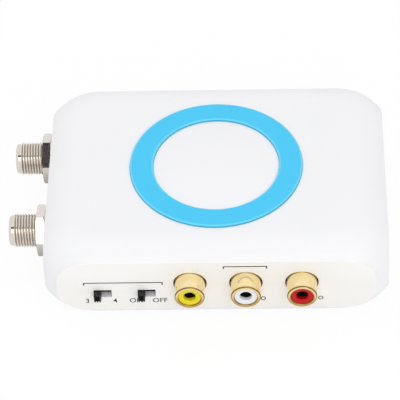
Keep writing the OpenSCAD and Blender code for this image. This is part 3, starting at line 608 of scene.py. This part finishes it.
def threaded_barrels():
    """Both antenna sockets: crimp, flange, cut thread, plain collar and rounded mouth."""
    tip_x, back_x = barrel_low.x, barrel_high.x
    reach = back_x - tip_x
    thread_from = back_x - left_x + 0.4 * MM
    thread_to = reach - COLLAR_LEN
    rings = int((thread_to - thread_from) / THREAD_PITCH * 12)
    ridge = [(SOCKET_R, thread_from + (thread_to - thread_from) * step / rings)
             for step in range(rings + 1)]
    flange_to = FLANGE_FROM + FLANGE_T
    outline = ([(SOCKET_BORE_R, 0.0), (CRIMP_R, 0.0), (CRIMP_R, FLANGE_FROM),
                (FLANGE_R, FLANGE_FROM), (FLANGE_R, flange_to), (SOCKET_R, flange_to)]
               + ridge + [(COLLAR_R, thread_to + 0.08 * MM)]
               + arc(COLLAR_R - COLLAR_EDGE, reach - COLLAR_EDGE, COLLAR_EDGE, 0, 90)
               + [(SOCKET_BORE_R + 0.3 * MM, reach), (SOCKET_BORE_R, reach - 0.3 * MM)])
    first_y, last_y = socket_ys
    turned = lathe(outline, Vector((back_x, first_y, socket_z)), Vector((-1, 0, 0)))
    blank = shell_mesh("socket_blank", turned, barrel_nickel)
    rule = thread_rule(first_y, back_x, {
        "Thread Pitch": THREAD_PITCH, "Thread Depth": 0.52 * THREAD_PITCH,
        "Thread Start": thread_from, "Thread Stop": thread_to,
        "Crest Share": 0.14, "Flank Share": 0.76,
        "Spacing": last_y - first_y, "Count": 2})
    barrels = rule.grow("threaded_barrels", blank)
    barrels.data.set_sharp_from_angle(angle=math.radians(28))
    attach(barrels, "housing")
    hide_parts("socket_barrels")


for name in JACK_NAMES:
    jack_sleeve(name + "_sleeve", name + "_shell", jack_golds[name])
threaded_barrels()

ink = moulded("print_grey", rgb(30, 29, 29), rgb(24, 23, 23), 0.6, 2600.0, 0.001 * MM)


def print_on_front(name, points, faces):
    """Lays a flat print (x and z in metres) on the front panel."""
    placed = [Vector((x, front_y - PRINT_T / 2, z)) for x, z in points]
    mesh = bpy.data.meshes.new(name)
    mesh.from_pydata(placed, [], faces)
    mesh.materials.append(ink)
    made = linked(name, mesh)
    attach(made, "housing")


def word(text, middle_x, low_z, tall, stretch=0.98):
    """A plain word, as points and faces in the plane of the panel."""
    curve = bpy.data.curves.new("word", "FONT")
    curve.body = text
    curve.size = 1.0
    curve.resolution_u = 4
    curve.offset = 0.006
    holder = bpy.data.objects.new("word", curve)
    mesh = bpy.data.meshes.new_from_object(holder)
    xs = [v.co.x for v in mesh.vertices]
    ys = [v.co.y for v in mesh.vertices]
    size = tall / (max(ys) - min(ys))
    shift = (max(xs) + min(xs)) / 2
    points = [(middle_x + (x - shift) * size * stretch, low_z + (y - min(ys)) * size)
              for x, y in zip(xs, ys)]
    faces = [tuple(face.vertices) for face in mesh.polygons]
    bpy.data.objects.remove(holder)
    bpy.data.curves.remove(curve)
    bpy.data.meshes.remove(mesh)
    return points, faces


def bracket(low_x, high_x, z):
    """A thin line with a short leg at each end, as groups controls on a panel."""
    points = [(low_x, z), (high_x, z), (high_x, z - LINE_T), (low_x, z - LINE_T),
              (low_x, z - LEG), (low_x + LINE_T, z - LEG), (low_x + LINE_T, z - LINE_T),
              (high_x - LINE_T, z - LINE_T), (high_x - LINE_T, z - LEG), (high_x, z - LEG)]
    return points, [(0, 3, 6, 7, 2, 1), (3, 4, 5, 6), (7, 8, 9, 2)]


def ring_mark(x, steps=32):
    """A small plain ring beside a jack."""
    points, faces = [], []
    for step in range(steps):
        turn = 2 * math.pi * step / steps
        for reach in (MARK_R, MARK_R - MARK_T):
            points.append((x + reach * math.cos(turn), MARK_Z + reach * math.sin(turn)))
        after = (step + 1) % steps
        faces.append((2 * step, 2 * after, 2 * after + 1, 2 * step + 1))
    return points, faces


for name, text, middle in (("channel_low", "3", -35.9), ("channel_high", "4", -28.2),
                           ("power_on", "ON", -22.35), ("power_off", "OFF", -15.7)):
    print_on_front(name + "_print", *word(text, middle * MM, PRINT_LOW_Z, PRINT_TALL))
print_on_front("switch_bracket_print", *bracket(-36.7 * MM, -14.7 * MM, 14.9 * MM))
print_on_front("jack_bracket_print", *bracket(2.0 * MM, 14.1 * MM, 21.0 * MM))
for name, x in (("left_mark", 12.9), ("right_mark", 28.8)):
    print_on_front(name + "_print", *ring_mark(x * MM))


def toward(bearing, elevation):
    """Direction at a bearing from -Y toward +X and an elevation above the floor."""
    return Vector((math.sin(bearing) * math.cos(elevation),
                   -math.cos(bearing) * math.cos(elevation), math.sin(elevation)))


def seen_directly(tree, path):
    """1 on rays of the camera, also after they pass through something clear."""
    camera_ray = Value(tree, path.outputs["Is Camera Ray"])
    return camera_ray.math("MAXIMUM", Value(tree, path.outputs["Is Transmission Ray"]))


def surroundings():
    """White as the camera and mirrors see it, and dimmer as a light."""
    world = bpy.data.worlds.new("studio")
    bpy.context.scene.world = world
    world.use_nodes = True
    tree = world.node_tree
    background = tree.nodes["Background"]
    path = tree.nodes.new("ShaderNodeLightPath")
    seen = seen_directly(tree, path)
    seen = seen.math("MAXIMUM", Value(tree, path.outputs["Is Glossy Ray"]))
    connect(tree, background.inputs["Strength"], seen * (1.0 - AMBIENT) + AMBIENT)
    background.inputs["Color"].default_value = WHITE


def white_floor():
    """Floor that glows to the camera and in mirrors, and is clear from below."""
    finish = Finish("floor_white")
    tree = finish.tree
    path = tree.nodes.new("ShaderNodeLightPath")
    seen = seen_directly(tree, path) * FLOOR_GLOW_SEEN
    mirrored = Value(tree, path.outputs["Is Glossy Ray"]) * FLOOR_GLOW_MIRRORED
    glow = tree.nodes.new("ShaderNodeEmission")
    glow.inputs["Strength"].default_value = 1.0
    finish.surface(Base_Color=WHITE, Roughness=0.9)
    finish.shader.inputs["Specular IOR Level"].default_value = 0.0
    blend = tree.nodes.new("ShaderNodeMixShader")
    connect(tree, blend.inputs[0], seen.math("MAXIMUM", mirrored))
    tree.links.new(finish.shader.outputs[0], blend.inputs[1])
    tree.links.new(glow.outputs[0], blend.inputs[2])
    clear = tree.nodes.new("ShaderNodeBsdfTransparent")
    side = tree.nodes.new("ShaderNodeMixShader")
    connect(tree, side.inputs[0], finish.node("ShaderNodeNewGeometry", output="Backfacing"))
    tree.links.new(blend.outputs[0], side.inputs[1])
    tree.links.new(clear.outputs[0], side.inputs[2])
    tree.links.new(side.outputs[0], tree.nodes["Material Output"].inputs[0])

    mesh = bpy.data.meshes.new("floor")
    corners = [(x * FLOOR_REACH, y * FLOOR_REACH, FLOOR_Z)
               for x, y in ((-1, -1), (1, -1), (1, 1), (-1, 1))]
    mesh.from_pydata(corners, [], [(0, 1, 2, 3)])
    mesh.materials.append(finish.material)
    floor = linked("floor", mesh)


def dark_card(name, bearing, elevation, wide, high):
    """A black card that only mirrors in metal, as photographers stand round chrome."""
    out = toward(bearing, elevation)
    across = out.cross(Vector((0, 0, 1))).normalized()
    above = across.cross(-out)
    middle = case_mid + out * CARD_DISTANCE
    corners = [middle + across * wide * a + above * high * b
               for a, b in ((-1, -1), (1, -1), (1, 1), (-1, 1))]
    mesh = bpy.data.meshes.new(name)
    mesh.from_pydata(corners, [], [(0, 1, 2, 3)])
    cloth = Finish(name + "_cloth")
    mesh.materials.append(cloth.surface(
        Base_Color=cloth.mix(cloth.noise(900.0), rgb(10, 10, 10), rgb(18, 18, 18)),
        Roughness=0.9))
    card = linked(name, mesh)
    card.visible_camera = False
    card.visible_diffuse = False
    card.visible_shadow = False


def lamp(name, place, size, power, mirrored=True):
    """A round soft lamp aimed at the case."""
    data = bpy.data.lights.new(name, "AREA")
    data.shape = "DISK"
    data.size = size
    data.energy = power
    made = linked(name, data)
    made.location = place
    made.rotation_euler = (case_mid - Vector(place)).to_track_quat("-Z", "Y").to_euler()
    made.visible_glossy = mirrored


def photo_camera():
    """The photograph's camera, fitted to the case, ring, jacks and sockets."""
    camera = bpy.data.cameras.new("camera")
    camera.sensor_width = SENSOR
    camera.lens = FOCAL_PX * SENSOR / IMAGE_PX
    camera.clip_start = 0.01
    back = toward(CAMERA_YAW, CAMERA_PITCH)
    right = (-back).cross(Vector((0, 0, 1))).normalized()
    up = right.cross(-back)
    turned_right = right * math.cos(CAMERA_ROLL) + up * math.sin(CAMERA_ROLL)
    turned_up = up * math.cos(CAMERA_ROLL) - right * math.sin(CAMERA_ROLL)
    turn = Matrix((turned_right, turned_up, back)).transposed()
    eye = linked("camera", camera)
    eye.matrix_world = Matrix.Translation(CAMERA_AIM + back * CAMERA_DISTANCE) @ turn.to_4x4()
    bpy.context.scene.camera = eye


bpy.context.scene.view_settings.view_transform = "Standard"
surroundings()
white_floor()
dark_card("overhead_bar", math.radians(-5), math.radians(64), 0.3, 0.09)
lamp("key", (0.25, -0.9, 1.0), 1.5, 6.5)
lamp("top", (-0.3, 0.35, 1.2), 1.3, 3.5, mirrored=False)
photo_camera()
